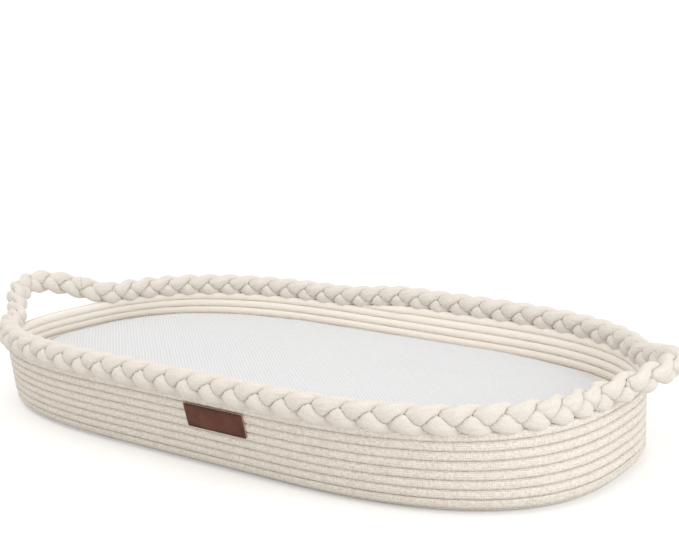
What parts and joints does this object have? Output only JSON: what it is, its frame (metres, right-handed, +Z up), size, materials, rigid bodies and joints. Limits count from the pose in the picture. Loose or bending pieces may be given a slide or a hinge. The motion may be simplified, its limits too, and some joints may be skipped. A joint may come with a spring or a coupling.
{
  "type": "changing basket",
  "caption": "Oval changing basket of wound cotton rope with a plaited rim, two rope loop handles that swing, and a lift-out foam pad in a quilt-textured cover with a zip.",
  "frame": {"origin": "centre of the floor's flat underside, on the surface that the basket stands on", "axes": "+X along the basket's length, -Y towards the long side with the label, +Z up"},
  "size_m": [0.8388, 0.4835, 0.1291],
  "materials": {
    "cotton_rope": "natural off-white cotton, matte",
    "cotton_plait": "natural off-white cotton, matte",
    "brown_leather": "dark brown, slight sheen",
    "waffle_cover": "white waffle cotton, matte",
    "foam": "pale open-cell foam",
    "black_tag": "black woven tape",
    "zip_tape": "white woven tape",
    "zip_teeth": "white nylon coil",
    "zip_metal": "satin nickel"
  },
  "bodies": {
    "basket": {"floor_core": "cotton_rope", "wall_rope_coil": "cotton_rope", "front_rim_strand_1": "cotton_plait", "front_rim_strand_2": "cotton_plait", "front_rim_strand_3": "cotton_plait", "rear_rim_strand_1": "cotton_plait", "rear_rim_strand_2": "cotton_plait", "rear_rim_strand_3": "cotton_plait", "left_rear_foot_strand_1": "cotton_plait", "left_rear_foot_strand_2": "cotton_plait", "left_rear_foot_strand_3": "cotton_plait", "left_front_foot_strand_1": "cotton_plait", "left_front_foot_strand_2": "cotton_plait", "left_front_foot_strand_3": "cotton_plait", "right_rear_foot_strand_1": "cotton_plait", "right_rear_foot_strand_2": "cotton_plait", "right_rear_foot_strand_3": "cotton_plait", "right_front_foot_strand_1": "cotton_plait", "right_front_foot_strand_2": "cotton_plait", "right_front_foot_strand_3": "cotton_plait", "leather_label": "brown_leather"},
    "left_handle": {"left_handle_strand_1": "cotton_plait", "left_handle_strand_2": "cotton_plait", "left_handle_strand_3": "cotton_plait"},
    "right_handle": {"right_handle_strand_1": "cotton_plait", "right_handle_strand_2": "cotton_plait", "right_handle_strand_3": "cotton_plait"},
    "pad": {"pad_foam_core": "foam", "pad_cover_top": "waffle_cover", "pad_cover_bottom": "waffle_cover", "pad_welt": "waffle_cover", "pad_side_tag": "black_tag", "zip_tape_upper": "zip_tape", "zip_tape_lower": "zip_tape", "zip_teeth": "zip_teeth", "zip_stop_left": "zip_metal", "zip_stop_right": "zip_metal"},
    "zip_slider": {"zip_slider": "zip_metal"},
    "zip_pull": {"zip_pull": "zip_metal"}
  },
  "joints": [
    {"name": "left_handle_swing", "type": "hinge", "parent": "basket", "child": "left_handle", "pos_m": [-0.35337, -0.03758, 0.09102], "axis": [0.1309, -0.9914, 0.0045], "range_deg": [-75, 8], "deforming": ["left_rear_foot_strand_1", "left_rear_foot_strand_2", "left_rear_foot_strand_3", "left_front_foot_strand_1", "left_front_foot_strand_2", "left_front_foot_strand_3"]},
    {"name": "right_handle_swing", "type": "hinge", "parent": "basket", "child": "right_handle", "pos_m": [0.35315, 0.03766, 0.09582], "axis": [-0.1288, 0.9917, 0.0045], "range_deg": [-75, 8], "deforming": ["right_rear_foot_strand_1", "right_rear_foot_strand_2", "right_rear_foot_strand_3", "right_front_foot_strand_1", "right_front_foot_strand_2", "right_front_foot_strand_3"]},
    {"name": "pad_lift", "type": "slide", "parent": "basket", "child": "pad", "axis": [0, 0, 1], "range_m": [0, 0.25]},
    {"name": "zip_slide", "type": "slide", "parent": "pad", "child": "zip_slider", "axis": [-1, 0, 0], "range_m": [0, 0.161]},
    {"name": "zip_pull_swing", "type": "hinge", "parent": "zip_slider", "child": "zip_pull", "pos_m": [0.08075, 0.20425, 0.0363], "axis": [0, 1, 0], "range_deg": [-60, 60]}
  ]
}
